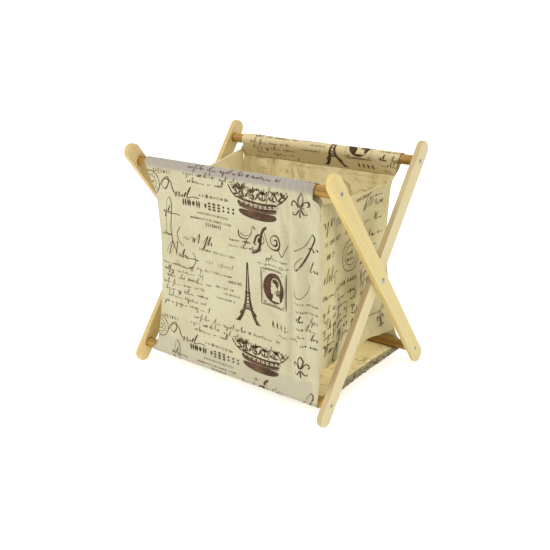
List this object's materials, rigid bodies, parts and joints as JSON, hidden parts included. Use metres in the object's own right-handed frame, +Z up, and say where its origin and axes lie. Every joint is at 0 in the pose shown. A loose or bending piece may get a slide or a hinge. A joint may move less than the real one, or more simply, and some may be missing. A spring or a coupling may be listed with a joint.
{
  "type": "folding magazine rack",
  "caption": "Folding magazine rack: two crossed wooden frames joined at a pivot, with a printed canvas sling between dowels and canvas sides.",
  "frame": {"origin": "on the floor, midway between the four feet, at the centre of the object's base", "axes": "+X along the dowels to the right, +Y to the back, +Z up"},
  "size_m": [0.394, 0.2942, 0.374],
  "materials": {
    "pine_bars": "sanded pale pine with a thin matt varnish",
    "dowels": "darker round dowel, satin varnish",
    "screws": "zinc plated wood screws",
    "pivots": "zinc plated bolts, washers and nuts",
    "canvas": "cream canvas with a brown print on its face",
    "print": "brown ink printed on the canvas",
    "thread": "cream sewing thread"
  },
  "bodies": {
    "frame_a": {"bar_a_right": "pine_bars", "bar_a_left": "pine_bars", "dowel_front_top": "dowels", "dowel_back_bottom": "dowels", "screw_front_top_right": "screws", "screw_front_top_left": "screws", "screw_back_bottom_right": "screws", "screw_back_bottom_left": "screws", "pivot_bolt_right": "pivots", "pivot_spacer_right": "pivots", "pivot_washer_right": "pivots", "pivot_nut_right": "pivots", "bottom_panel": "canvas", "bottom_hem_right": "canvas", "bottom_hem_left": "canvas", "side_panel_right": "canvas", "side_panel_left": "canvas"},
    "frame_b": {"bar_b_right": "pine_bars", "bar_b_left": "pine_bars", "dowel_back_top": "dowels", "dowel_front_bottom": "dowels", "screw_back_top_right": "screws", "screw_back_top_left": "screws", "screw_front_bottom_right": "screws", "screw_front_bottom_left": "screws", "pivot_bolt_left": "pivots", "pivot_spacer_left": "pivots", "pivot_washer_left": "pivots", "pivot_nut_left": "pivots"},
    "front_sheet": {"front_casing": "canvas", "front_panel": "canvas"},
    "front_fed": {"front_reserve": "canvas"},
    "back_sheet": {"back_casing": "canvas", "back_panel": "canvas"},
    "back_fed": {"back_reserve": "canvas"}
  },
  "joints": [
    {"name": "fold", "type": "hinge", "parent": "frame_a", "child": "frame_b", "pos_m": [0, 0, 0.18701], "axis": [1, 0, 0], "range_deg": [0, 68.8], "deforming": ["bottom_panel", "bottom_hem_right", "bottom_hem_left", "side_panel_right", "side_panel_left"]},
    {"name": "front_sheet_swing", "type": "hinge", "parent": "frame_a", "child": "front_sheet", "pos_m": [0, -0.12142, 0.34468], "axis": [1, 0, 0], "range_deg": [0, 34.5]},
    {"name": "front_fed_swing", "type": "hinge", "parent": "frame_b", "child": "front_fed", "pos_m": [0, -0.12142, 0.02935], "axis": [1, 0, 0], "range_deg": [-34.5, 0]},
    {"name": "back_sheet_swing", "type": "hinge", "parent": "frame_b", "child": "back_sheet", "pos_m": [0, 0.12142, 0.34468], "axis": [1, 0, 0], "range_deg": [-34.5, 0]},
    {"name": "back_fed_swing", "type": "hinge", "parent": "frame_a", "child": "back_fed", "pos_m": [0, 0.12142, 0.02935], "axis": [1, 0, 0], "range_deg": [0, 34.5]}
  ],
  "couplings": [
    {"joint": "front_sheet_swing", "follows": "fold", "ratio": 0.5},
    {"joint": "front_fed_swing", "follows": "fold", "ratio": -0.5},
    {"joint": "back_sheet_swing", "follows": "fold", "ratio": -0.5},
    {"joint": "back_fed_swing", "follows": "fold", "ratio": 0.5}
  ]
}
